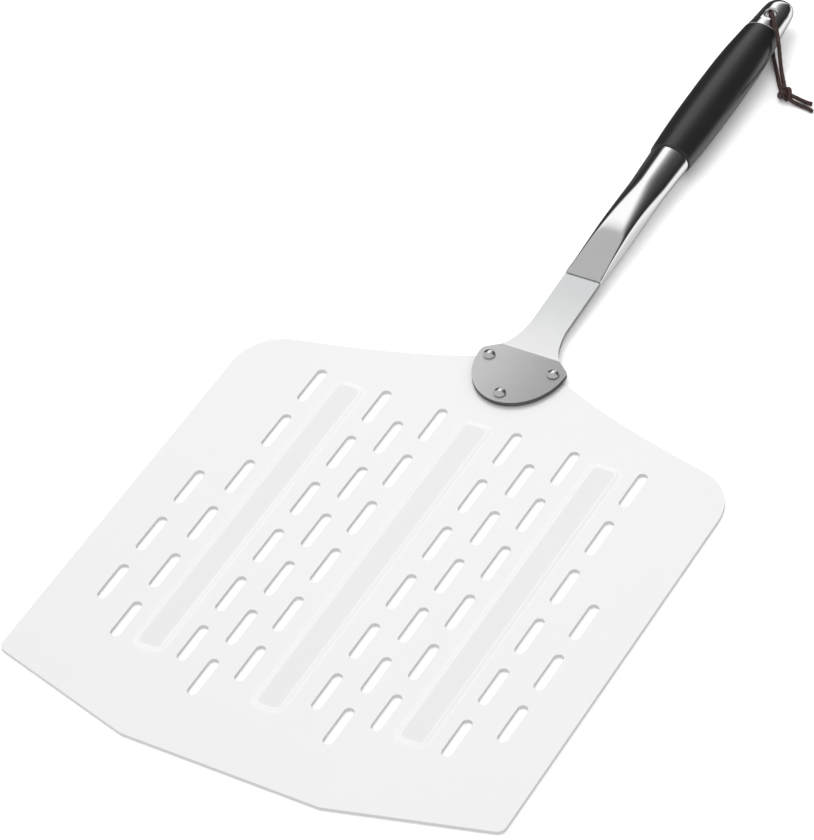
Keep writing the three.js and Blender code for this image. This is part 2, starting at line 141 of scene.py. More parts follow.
class Shader:
    """Builds one node tree, for a material or for the world."""

    def __init__(self, tree: bpy.types.NodeTree) -> None:
        """Empties the tree."""
        self.tree = tree
        tree.nodes.clear()

    def node(
        self, kind: str, settings: dict | None = None, sockets: dict | None = None, output: int | str = 0
    ) -> Value:
        """Adds a node.

        Args:
            kind: the node's type.
            settings: the node's own properties, set before its sockets.
            sockets: input name or number to a number, a colour or another node's Value.
            output: which of its outputs is wanted.

        Returns:
            The output, as a Value.
        """
        made = self.tree.nodes.new(kind)
        for name, value in (settings or {}).items():
            if name == "stops":
                self._stops(made.color_ramp, value)
            else:
                setattr(made, name, value)
        for name, value in (sockets or {}).items():
            if isinstance(value, Value):
                self.tree.links.new(value.socket, made.inputs[name])
            else:
                made.inputs[name].default_value = value
        return Value(self, made.outputs[output])

    @staticmethod
    def _stops(ramp: bpy.types.ColorRamp, stops: Sequence[tuple[float, float]]) -> None:
        """Fills a colour ramp with grey stops of (place, level)."""
        while len(ramp.elements) < len(stops):
            ramp.elements.new(1.0)
        for element, (place, level) in zip(ramp.elements, stops):
            element.position = place
            element.color = (level, level, level, 1.0)

    def place(self, scale: Sequence[float] = (1, 1, 1), attribute: str = "") -> Value:
        """Coordinates in millimetres, or those of a named attribute, each axis scaled."""
        if attribute:
            source = self.node("ShaderNodeAttribute", {"attribute_name": attribute}, output="Vector")
            unit = 1.0
        else:
            source = self.node("ShaderNodeTexCoord", output="Object")
            unit = 1 / MM
        factors = [unit * axis for axis in scale]
        return self.node("ShaderNodeMapping", {"vector_type": "POINT"}, {"Vector": source, "Scale": factors})

    def axis(self, number: int) -> Value:
        """One of the object coordinates, in millimetres."""
        return self.node("ShaderNodeSeparateXYZ", {}, {0: self.place()}, number)

    def noise(
        self,
        scale: Sequence[float],
        detail: float = 3.0,
        kind: Noise = Noise.EVEN,
        attribute: str = "",
        distortion: float = 0.0,
    ) -> Value:
        """A noise from 0 to 1 with so many lumps to the millimetre along each axis."""
        sockets = {
            "Vector": self.place(scale, attribute),
            "Scale": 1.0,
            "Detail": detail,
            "Roughness": 0.55,
            "Distortion": distortion,
        }
        return self.node("ShaderNodeTexNoise", {"noise_type": kind.value}, sockets)

    def mix(self, share: Value, first: Sequence[float], second: Sequence[float] | Value) -> Value:
        """A colour between two, by share."""
        settings = {"data_type": "RGBA", "clamp_factor": True}
        sockets = {0: share, 6: first if isinstance(first, Value) else (*first, 1.0)}
        sockets[7] = second if isinstance(second, Value) else (*second, 1.0)
        return self.node("ShaderNodeMix", settings, sockets, 2)

    def bump(self, height: Value, depth: float, strength: float = 1.0) -> Value:
        """Normals of a surface with relief of that depth in millimetres."""
        sockets = {"Height": height, "Distance": depth * MM, "Strength": strength}
        return self.node("ShaderNodeBump", {}, sockets)

    def surface(
        self, colour: Value, rough: Value, normal: Value, metal: float = 1.0, more: dict | None = None
    ) -> None:
        """Ends a material in a Principled shader, with more sockets if it has them."""
        sockets = {"Base Color": colour, "Metallic": metal, "Roughness": rough, "Normal": normal}
        made = self.node("ShaderNodeBsdfPrincipled", {}, sockets | (more or {}))
        self.node_out("ShaderNodeOutputMaterial", made)

    def node_out(self, kind: str, made: Value) -> None:
        """Ends the tree in an output node."""
        out = self.tree.nodes.new(kind)
        self.tree.links.new(made.socket, out.inputs["Surface"])


def grey(level: float, tint: Sequence[float] = (1, 1, 1)) -> tuple[float, float, float]:
    """A linear grey, slightly tinted."""
    return tuple(level * part for part in tint)


class Finish:
    """A surface finish, which makes its own material once."""

    variant: str = "plain"

    def material(self) -> bpy.types.Material:
        """The finish's material, made on first use."""
        name = f"{type(self).__name__}_{self.variant}"
        found = bpy.data.materials.get(name)
        if found is None:
            found = bpy.data.materials.new(name)
            found.use_nodes = True
            self.dress(Shader(found.node_tree))
        return found

    def dress(self, shader: Shader) -> None:
        """Adds its nodes."""
        raise NotImplementedError


@dataclass(frozen=True)
class SatinSheet(Finish):
    """Pale aluminium sheet with a fine satin brushing along its length."""

    level: float = 0.785
    metal: float = 0.5
    roughness: float = 0.34
    variant: str = "flat"

    def dress(self, shader: Shader) -> None:
        """Adds its nodes."""
        lines = shader.noise((5.0, 0.03, 5.0), 4.0)
        cloud = shader.noise((0.02, 0.014, 0.02), 2.0)
        rubs = shader.noise((0.35, 0.02, 0.35), 5.0, Noise.RIDGED, distortion=0.6).ramp(0.62, 0.95)
        tone = lines * 0.5 + cloud * 0.5
        colour = shader.mix(tone, grey(self.level * 0.965), grey(self.level, (1.0, 1.002, 1.004)))
        rough = lines * 0.10 + cloud * 0.05 + rubs * 0.04 + (self.roughness - 0.08)
        normal = shader.bump(lines, 0.006, 0.35)
        shader.surface(colour, rough, normal, self.metal)


@dataclass(frozen=True)
class ShearedEdge(Finish):
    """The cut edge of sheet or strap: duller, with fine lines across its thickness."""

    level: float = 0.80
    neck: float = 0.80  # level past the strap's bend
    metal: float = 0.5
    roughness: float = 0.5
    variant: str = "sheet"

    def dress(self, shader: Shader) -> None:
        """Adds its nodes."""
        lines = shader.noise((4.0, 4.0, 0.4), 3.0)
        band = shader.noise((0.15, 0.15, 1.2), 2.0)
        # on the strap, the edge is painted darker on the foot than past the bend: partly a duller cut edge,
        # partly painted shade where the foot sits on the blade
        beyond = shader.axis(1).ramp(along(336), along(352))
        level = shader.mix(beyond, grey(self.level), grey(self.neck))
        dark = shader.mix(beyond, grey(self.level * 0.8), grey(self.neck * 0.8))
        colour = shader.mix(lines * 0.6 + band * 0.4, dark, level)
        rough = lines * 0.14 + (self.roughness - 0.07)
        normal = shader.bump(lines, 0.02, 0.5)
        shader.surface(colour, rough, normal, self.metal)


@dataclass(frozen=True)
class BrushedStrap(Finish):
    """Stainless strap: the foot brushed across, the neck polished behind the bend. The foot is painted darker
    than the neck, partly for its brushing and partly as painted shade for the different reflections either
    side of the bend; the foot has painted light on its left side and the neck painted shade towards the
    bolster.
    """

    # painted shade, partly: the foot's level is set far below the neck's
    foot: float = 0.415
    neck: float = 0.72
    metal: float = 0.75
    bend: float = 334.5  # station of the bend

    def dress(self, shader: Shader) -> None:
        """Adds its nodes."""
        y = along(self.bend)
        edge = shader.noise((1.5, 0.3, 1.5), 2.0) * 0.5
        polished = (shader.axis(1) + edge).ramp(y - 0.25, y + 0.55)
        lines = shader.noise((0.05, 6.0, 6.0), 4.0)
        cloud = shader.noise((0.08, 0.08, 0.08), 2.0)
        blend = lines * 0.65 + cloud * 0.35
        # painted light: the foot is painted brighter on its left side, fading to darker on its right
        painted_side_light = shader.axis(0).ramp(-26, 26, 1.0, 0.0)
        brushed = shader.mix(blend * 0.4 + painted_side_light * 0.6, grey(self.foot * 0.72), grey(self.foot * 1.4))
        # painted shade: the neck is painted darker towards the bolster and brightest just behind the bend
        wear_and_painted_shade = (shader.axis(1) + cloud * 8).ramp(y, y + 62, 1.0, 0.0)
        bright = shader.mix(wear_and_painted_shade, grey(self.neck * 0.80, (0.975, 1.0, 1.005)), grey(self.neck))
        # the step at the bend from the dark foot to the bright neck is partly the finish and partly painted
        # shade
        colour = shader.mix(polished, brushed, bright)
        rough = (lines * 0.16 + 0.22) * (1 - polished) + (cloud * 0.05 + 0.16) * polished
        normal = shader.bump(lines * (1 - polished), 0.012, 0.6)
        shader.surface(colour, rough, normal, self.metal)


@dataclass(frozen=True)
class PolishedSteel(Finish):
    """Mirror-polished stainless with faint polishing lines round it and soft smears."""

    level: float = 0.90
    roughness: float = 0.06

    def dress(self, shader: Shader) -> None:
        """Adds its nodes."""
        lines = shader.noise((0.25, 7.0, 0.25), 3.0)
        smear = shader.noise((0.09, 0.05, 0.09), 3.0, distortion=0.8)
        colour = shader.mix(smear, grey(self.level * 0.97), grey(self.level, (1.0, 1.0, 1.005)))
        rough = lines * 0.03 + smear * 0.05 + (self.roughness - 0.03)
        normal = shader.bump(smear, 0.015, 0.3)
        shader.surface(colour, rough, normal)


@dataclass(frozen=True)
class RivetSteel(Finish):
    """Bright rivet heads, tumbled, with small dents from setting."""

    level: float = 0.86
    roughness: float = 0.14

    def dress(self, shader: Shader) -> None:
        """Adds its nodes."""
        dents = shader.noise((0.9, 0.9, 0.9), 2.0)
        grain = shader.noise((6.0, 6.0, 6.0), 3.0)
        colour = shader.mix(grain, grey(self.level * 0.94), grey(self.level))
        rough = grain * 0.08 + dents * 0.06 + (self.roughness - 0.05)
        normal = shader.bump(dents, 0.05, 0.4)
        shader.surface(colour, rough, normal)


@dataclass(frozen=True)
class MachinedSteel(Finish):
    """Plain turned steel, with tool marks round it and a thin film of oil."""

    level: float = 0.42
    roughness: float = 0.38

    def dress(self, shader: Shader) -> None:
        """Adds its nodes."""
        marks = shader.noise((0.4, 9.0, 0.4), 3.0)
        stain = shader.noise((0.2, 0.2, 0.2), 3.0)
        colour = shader.mix(stain, grey(self.level * 0.8, (1.02, 1.0, 0.96)), grey(self.level * 1.1))
        rough = marks * 0.12 + stain * 0.1 + (self.roughness - 0.1)
        normal = shader.bump(marks, 0.02, 0.6)
        shader.surface(colour, rough, normal)


@dataclass(frozen=True)
class MouldedPlastic(Finish):
    """Black moulded plastic with a fine spark-eroded grain and a satin sheen."""

    level: float = 0.007
    roughness: float = 0.38

    def dress(self, shader: Shader) -> None:
        """Adds its nodes."""
        grain = shader.noise((4.5, 4.5, 4.5), 2.0)
        flow = shader.noise((0.12, 0.03, 0.12), 3.0)
        # here it is rubbed wear, which only roughens the grip
        wear_and_painted_shade = shader.noise((0.5, 0.12, 0.5), 4.0, Noise.RIDGED).ramp(0.7, 1.1)
        light = grey(self.level * 1.35, (0.98, 0.98, 1.08))
        colour = shader.mix(grain * 0.4 + flow * 0.6, grey(self.level * 0.8), light)
        rough = grain * 0.10 + flow * 0.08 + wear_and_painted_shade * 0.05 + (self.roughness - 0.10)
        normal = shader.bump(grain, 0.012, 0.5)
        coat = {"Coat Weight": 0.52, "Coat Roughness": 0.15, "Coat IOR": 1.45}
        shader.surface(colour, rough, normal, 0.0, {"IOR": 1.5} | coat)


@dataclass(frozen=True)
class LaceLeather(Finish):
    """Dark brown round leather lace: fibres along it, fine creases across it and rubbed high spots."""

    dark: tuple[float, float, float] = (0.020, 0.0085, 0.0075)
    light: tuple[float, float, float] = (0.098, 0.047, 0.042)

    def dress(self, shader: Shader) -> None:
        """Adds its nodes."""
        fibres = shader.noise((2.4, 2.4, 0.35), 4.0, attribute="lace")
        creases = shader.noise((0.7, 0.7, 2.2), 3.0, Noise.RIDGED, "lace", 0.4)
        dye = shader.noise((0.18, 0.18, 0.18), 2.0)
        tone = fibres * 0.55 + creases * 0.15 + dye * 0.3
        colour = shader.mix(tone.ramp(0.3, 0.72), self.dark, self.light)
        rough = fibres * 0.2 + 0.48
        normal = shader.bump(fibres * 0.6 + creases * 0.4, 0.14, 0.8)
        shader.surface(colour, rough, normal, 0.0)


# ---- mesh tools


class Outline:
    """A flat outline drawn point by point, in millimetres."""

    def __init__(self, x: float, y: float) -> None:
        """Starts at a point."""
        self.points: list[Vector] = [Vector((x, y))]

    def line(self, x: float, y: float) -> "Outline":
        """A straight stretch."""
        self.points.append(Vector((x, y)))
        return self

    def curve(self, first: Point2, second: Point2, end: Point2, steps: int) -> "Outline":
        """A cubic curve through two handles."""
        knots = [Vector((*p, 0)) for p in (self.points[-1], first, second, end)]
        self.points += [Vector(p[:2]) for p in interpolate_bezier(*knots, steps + 1)[1:]]
        return self

    def round(self, corner: Point2, end: Point2, steps: int) -> "Outline":
        """A rounded corner that would be sharp at corner."""
        start = self.points[-1]
        pull = Vector(corner)
        handles = [point.lerp(pull, 2 / 3) for point in (start, Vector(end))]
        return self.curve(handles[0][:], handles[1][:], end, steps)

    def arc(self, centre: Point2, radii: Point2, start: float, stop: float, steps: int) -> "Outline":
        """Part of an ellipse, between two angles in degrees, with its first point included."""
        for i in range(steps + 1):
            angle = math.radians(start + (stop - start) * i / steps)
            self.line(centre[0] + radii[0] * math.cos(angle), centre[1] + radii[1] * math.sin(angle))
        return self

    def mirrored(self) -> list[Vector]:
        """The closed outline: this half and its mirror image across x = 0."""
        back = [Vector((-p.x, p.y)) for p in reversed(self.points)]
        return self.points + [p for p in back if abs(p.x) > 1e-6]


def flat_face(bm: BMesh, points: Sequence[Vector], z: float = 0.0) -> BMFace:
    """One flat face with this outline."""
    return bm.faces.new([bm.verts.new((p.x, p.y, z)) for p in points])


def inset(bm: BMesh, face: BMFace, width: float) -> None:
    """Draws a face in by width, leaving a strip of faces round it."""
    bmesh.ops.inset_region(bm, faces=[face], thickness=width, use_even_offset=True, use_boundary=True)


def round_edges(
    bm: BMesh, edges: Sequence[BMEdge], size: float, segments: int
) -> None:
    """Bevels edges by size, or by less where the overlap clamp holds all of them back."""
    made = bmesh.ops.bevel(
        bm,
        geom=list(edges),
        offset=size,
        offset_type="OFFSET",
        segments=segments,
        profile=0.5,
        affect="EDGES",
        material=-1,
        clamp_overlap=True,
        loop_slide=True,
    )
    for face in made["faces"]:
        face.smooth = True


def sharp_edges(bm: BMesh, degrees: float) -> list[BMEdge]:
    """The edges whose two faces meet at more than this angle."""
    limit = math.radians(degrees)
    return [e for e in bm.edges if len(e.link_faces) == 2 and e.calc_face_angle(0) > limit]


def face_out(bm: BMesh) -> None:
    """Turns every face outwards."""
    bmesh.ops.recalc_face_normals(bm, faces=bm.faces)


def smooth_all(bm: BMesh) -> None:
    """Shades every face smooth."""
    for face in bm.faces:
        face.smooth = True


def open_edges(bm: BMesh) -> list[BMEdge]:
    """The edges with a face on one side only."""
    return [e for e in bm.edges if e.is_boundary]


def thicken_down(bm: BMesh, thick: float) -> set[BMFace]:
    """Gives a flat sheet its thickness, downwards, and returns its top and bottom faces."""
    tops = set(bm.faces)
    made = bmesh.ops.extrude_face_region(bm, geom=list(bm.faces))["geom"]
    lower = [v for v in made if isinstance(v, BMVert)]
    bmesh.ops.translate(bm, verts=lower, vec=(0, 0, -thick))
    return tops | {f for f in made if isinstance(f, BMFace)}


def trim_walls(bm: BMesh, flats: set[BMFace], size: float, segments: int) -> None:
    """Gives the walls the second finish and bevels their edges, as wide as the overlap clamp leaves."""
    walls = [f for f in bm.faces if f not in flats]
    for wall in walls:
        wall.material_index = 1
        wall.smooth = True
    cut = {e for wall in walls for e in wall.edges if any(f in flats for f in e.link_faces)}
    round_edges(bm, list(cut), size, segments)


def spun(points: Sequence[Point2], steps: int) -> BMesh:
    """A closed body spun round Z from half its section."""
    bm = bmesh.new()
    verts = [bm.verts.new((r, 0, z)) for r, z in points]
    geom = verts + [bm.edges.new(pair) for pair in zip(verts, verts[1:])]
    turn = {"cent": (0, 0, 0), "axis": (0, 0, 1), "angle": math.tau}
    bmesh.ops.spin(bm, geom=geom, steps=steps, use_merge=True, **turn)
    bmesh.ops.remove_doubles(bm, verts=bm.verts, dist=1e-4)
    face_out(bm)
    return bm


def placed(name: str, bm: BMesh) -> Thing:
    """Turns a mesh into an object in the scene, and frees it."""
    mesh = bpy.data.meshes.new(name)
    bm.to_mesh(mesh)
    bm.free()
    made = bpy.data.objects.new(name, mesh)
    bpy.context.scene.collection.objects.link(made)
    return made


def next_ring(bm: BMesh, ring: Sequence[BMVert]) -> list[BMVert]:
    """Extrudes a ring of vertices and returns the new ring, in the same order."""
    members = set(ring)
    edges = [e for e in {e for v in ring for e in v.link_edges} if members.issuperset(e.verts)]
    made = set(bmesh.ops.extrude_edge_only(bm, edges=edges)["geom"])
    return [next(o for e in v.link_edges if (o := e.other_vert(v)) in made) for v in ring]


@dataclass(frozen=True)
class Section:
    """An oval section of the handle."""

    at: float  # station
    half: float  # half its width
    tall: float  # half its height
    drop: float = 0.0  # how far its centre lies below the handle's axis


class Loft:
    """Sections joined by a smooth curve, each a slightly squared oval."""

    def __init__(
        self, sections: Sequence[Section], square: Callable[[float], float] = lambda at: 2.0
    ) -> None:
        """Keeps the sections and how square they are at a station: 2 is an ellipse, more is squarer."""
        self.sections = list(sections)
        self.square = square

    def at(self, station: float) -> Section:
        """The section at a station, on a smooth curve through the given ones."""
        known = self.sections
        last = len(known) - 2
        i = next((k for k in range(last) if station <= known[k + 1].at), last)
        near = [known[max(0, min(len(known) - 1, k))] for k in (i - 1, i, i + 1, i + 2)]
        span = near[2].at - near[1].at
        t = (station - near[1].at) / span

        def smooth(read: Callable[[Section], float]) -> float:
            """One of the section's sizes on a Hermite curve."""
            values = [read(s) for s in near]
            slopes = []
            for before, after in ((0, 2), (1, 3)):
                width = near[after].at - near[before].at
                slopes.append(span * (values[after] - values[before]) / width)
            a = 2 * t**3 - 3 * t**2 + 1
            b = t**3 - 2 * t**2 + t
            return a * values[1] + b * slopes[0] + (1 - a) * values[2] + (t**3 - t**2) * slopes[1]

        return Section(station, smooth(lambda s: s.half), smooth(lambda s: s.tall), smooth(lambda s: s.drop))

    def ring(self, station: float, turn: float, origin: float, shrink: float = 0.0) -> Vector:
        """A point of a section at an angle, with y measured from the origin station."""
        section = self.at(station)
        power = 2 / self.square(station)
        c, s = math.cos(turn), math.sin(turn)
        x = math.copysign(abs(c) ** power, c) * (section.half - shrink)
        z = math.copysign(abs(s) ** power, s) * (section.tall - shrink)
        return Vector((x, station - origin, z - section.drop))

    def build(
        self, bm: BMesh, stations: Sequence[float], origin: float, sides: int = 72
    ) -> None:
        """Extrudes a circle through the stations and shapes each ring to its section."""
        made = bmesh.ops.create_circle(bm, radius=1.0, segments=sides)
        ring = made["verts"]
        turns = [math.atan2(v.co.y, v.co.x) for v in ring]
        for i, station in enumerate(stations):
            if i:
                ring = next_ring(bm, ring)
            for vert, turn in zip(ring, turns):
                vert.co = self.ring(station, turn, origin)


def stations_between(first: float, last: float, steps: int) -> list[float]:
    """Evenly spaced stations, both ends included."""
    return [first + (last - first) * i / steps for i in range(steps + 1)]


def smooth_path(points: Sequence[Vector], per_span: int) -> list[Vector]:
    """Points on the centripetal Catmull-Rom curve through the given ones."""
    ends = [points[0] * 2 - points[1], *points, points[-1] * 2 - points[-2]]
    path = []
    for i in range(len(points) - 1):
        p = ends[i : i + 4]
        knots = [0.0]
        for a, b in zip(p, p[1:]):
            knots.append(knots[-1] + math.sqrt((b - a).length))

        def between(low: int, high: int, a: Vector, b: Vector, t: float) -> Vector:
            """The straight mix of two points by their knots."""
            return a.lerp(b, (t - knots[low]) / (knots[high] - knots[low]))

        for step in range(per_span):
            t = knots[1] + (knots[2] - knots[1]) * step / per_span
            first = [between(k, k + 1, p[k], p[k + 1], t) for k in range(3)]
            second = [between(k, k + 2, first[k], first[k + 1], t) for k in range(2)]
            path.append(between(1, 2, second[0], second[1], t))
    return [*path, points[-1].copy()]


class Piece:
    """A finished piece: its mesh, finishes and body."""

    @staticmethod
    def finish(
        bm: BMesh,
        name: str,
        finishes: Sequence[Finish],
        slot: Slot,
        replaces: Sequence[str],
        body: Body = Body.PEEL,
        place: Matrix | None = None,
    ) -> Thing:
        """Turns a mesh in millimetres into a piece in metres that stands for CAD nodes.

        Args:
            bm: the mesh, which is freed.
            name: the piece's name.
            finishes: its finishes, in the order of its material numbers.
            slot: the record's slot; not used.
            replaces: the CAD nodes that it stands for.
            body: the body that it rides on.
            place: where a mesh made in another frame goes, in millimetres.

        Returns:
            The piece.
        """
        if place is not None:
            bmesh.ops.transform(bm, matrix=place, verts=bm.verts)
        bmesh.ops.scale(bm, vec=(MM, MM, MM), verts=bm.verts)
        made = placed(name, bm)
        for finish in finishes:
            made.data.materials.append(finish.material())
        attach(made, body.value)
        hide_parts(*replaces)
        LOG.info("%s: %d faces, rides on %s", name, len(made.data.polygons), body.value)
        return made


# ---- camera


@dataclass
class Camera:
    """The camera: where it stands, the way it looks and its lens."""

    spot: tuple[float, float, float] = (0.9553, -1.4729, 1.6570)
    right: tuple[float, float, float] = (0.86418547, 0.49330219, -0.09917878)
    up: tuple[float, float, float] = (-0.28326595, 0.63986236, 0.71437844)
    lens: float = 186.30
    sensor: float = 36.0

    def build(self) -> Thing:
        """Makes it the scene's camera."""
        data = bpy.data.cameras.new("camera")
        data.lens = self.lens
        data.sensor_width = self.sensor
        data.clip_start = 0.05
        data.clip_end = 60.0
        made = bpy.data.objects.new("camera", data)
        bpy.context.scene.collection.objects.link(made)
        right = Vector(self.right).normalized()
        up = Vector(self.up)
        up = (up - right * up.dot(right)).normalized()
        turn = Matrix((right, up, right.cross(up))).transposed()
        made.matrix_world = Matrix.Translation(self.spot) @ turn.to_4x4()
        bpy.context.scene.camera = made
        return made


# ---- lace


@dataclass
class Lace:
    """The leather lace: two halves from the hanging hole, through the knot, to their cut ends."""

    heading: float = -56.5  # degrees, the way it lies from the hole, from +X
    hole: float = along(636.5) * MM
    thick: float = 0.0025
    sides: int = 14
    upper: Route = (
        (0, 0, 0.0136), (0, 0, 0.0157), (0.0001, 0, 0.0174),
        (0.0006, 0.00005, 0.0193), (0.0019, 0.00015, 0.0211), (0.004, 0.0003, 0.0224),
        (0.0065, 0.00045, 0.02295), (0.01, 0.0007, 0.02305), (0.014, 0.0009, 0.02275),
        (0.018, 0.0011, 0.0218), (0.0215, 0.00125, 0.0199), (0.0242, 0.00135, 0.017),
        (0.026, 0.0014, 0.0134), (0.0276, 0.0014, 0.0096), (0.0296, 0.0014, 0.0058),
        (0.0324, 0.0014, 0.003), (0.036, 0.0014, 0.0017), (0.04, 0.0014, 0.0014),
        (0.045, 0.0014, 0.0015), (0.0497, 0.0012, 0.0024), (0.0535, 0.0012, 0.0038),
        (0.0572, 0.0018, 0.0041), (0.0609, 0.0033, 0.0028), (0.0626, 0.0052, 0.002),
        (0.0646, 0.0076, 0.0015), (0.0668, 0.0102, 0.0014), (0.0692, 0.0126, 0.0014),
        (0.0718, 0.0146, 0.0014),
    )
    lower: Route = (
        (0, 0, 0.0131), (0, 0, 0.0107), (0, 0, 0.0082),
        (0.0002, 0, 0.0059), (0.001, -0.0001, 0.0039), (0.0026, -0.00025, 0.0023),
        (0.005, -0.0005, 0.0016), (0.009, -0.0009, 0.0014), (0.014, -0.0013, 0.0014),
        (0.02, -0.0015, 0.0014), (0.026, -0.0014, 0.0014), (0.032, -0.0014, 0.0014),
        (0.038, -0.0014, 0.0014), (0.044, -0.0014, 0.0015), (0.0497, -0.0012, 0.0022),
        (0.0532, -0.0008, 0.0036), (0.0562, 0.0018, 0.0041), (0.0586, 0.0055, 0.003),
        (0.0599, 0.0078, 0.0022), (0.0616, 0.0102, 0.0016), (0.0635, 0.0126, 0.0014),
        (0.0652, 0.0152, 0.0014),
    )
    knot_out: float = 0.056
    knot_left: float = 0.0004
    knot_up: float = 0.00445

    def point(self, out: float, left: float, up: float) -> Vector:
        """A place out from the hole, to the left of that, and up."""
        angle = math.radians(self.heading)
        c, s = math.cos(angle), math.sin(angle)
        return Vector((out * c - left * s, self.hole + out * s + left * c, up))

    def tube(
        self, name: str, path: Sequence[Vector], replaces: Sequence[str], closed: bool
    ) -> Thing:
        """Draws a round, slightly uneven tube along a path.

        Args:
            name: the piece's name.
            path: its middle line, in metres.
            replaces: the CAD nodes that it stands for.
            closed: whether the path runs round into itself.

        Returns:
            The piece.
        """
        bm = bmesh.new()
        grain = bm.verts.layers.float_vector.new("lace")
        count = len(path)
        radius = self.thick / 2 / MM
        side = (path[1] - path[0]).orthogonal()
        ring = bmesh.ops.create_circle(bm, radius=1.0, segments=self.sides)["verts"]
        turns = [math.atan2(v.co.y, v.co.x) for v in ring]
        run = 0.0
        for i, spot in enumerate(path):
            before = path[i - 1] if closed or i else spot
            after = path[(i + 1) % count] if closed or i < count - 1 else spot
            ahead = (after - before).normalized()
            side = (side - ahead * side.dot(ahead)).normalized()
            across = ahead.cross(side)
            if i:
                run += (spot - path[i - 1]).length / MM
                ring = next_ring(bm, ring)
            uneven = radius * (1 + 0.03 * math.sin(run * 1.3) + 0.02 * math.sin(run * 3.1 + 1.0))
            for vert, turn in zip(ring, turns):
                c, s = math.cos(turn), math.sin(turn)
                vert[grain] = (c * radius, s * radius, run)
                vert.co = spot / MM + (side * c + across * s) * uneven
        if closed:
            bmesh.ops.bridge_loops(bm, edges=open_edges(bm))
        else:
            bmesh.ops.holes_fill(bm, edges=open_edges(bm), sides=0)
            round_edges(bm, sharp_edges(bm, 60), 0.25, 2)
        face_out(bm)
        smooth_all(bm)
        return Piece.finish(bm, name, [LaceLeather()], Slot.LACE, replaces, Body.LACE)

    def knot_path(self) -> list[Vector]:
        """The closed middle line of an overhand knot drawn tight, lying flat."""
        steps = 90
        flat = 0.00118  # of its plan, which is three units in radius
        rise = 0.0029
        middle = self.point(self.knot_out, self.knot_left, self.knot_up)
        turn = Matrix.Rotation(math.radians(self.heading + 20), 3, "Z")
        path = []
        for i in range(steps):
            t = 2 * math.pi * i / steps
            x = math.sin(t) + 2 * math.sin(2 * t)
            y = math.cos(t) - 2 * math.cos(2 * t)
            path.append(middle + turn @ Vector((x * flat, y * flat, -rise * math.sin(3 * t))))
        return path

    def build(self) -> None:
        knot = self.tube("knot", self.knot_path(), ["lace_knot"], True)
        halves = (
            ("lace_upper", self.upper, ["lace_upper_leg", "lace_long_tail"], 0.0217),
            ("lace_lower", self.lower, ["lace_lower_leg", "lace_short_tail"], 0.0057),
        )
        for name, route, replaces, mouth in halves:
            path = smooth_path([self.point(*spot) for spot in route], 4)
            length = sum((b - a).length for a, b in zip(path, path[1:]))
            LOG.info("%s is %.1f mm long", name, length / MM)
            half = self.tube(name, path, replaces, False)


# ---- blade


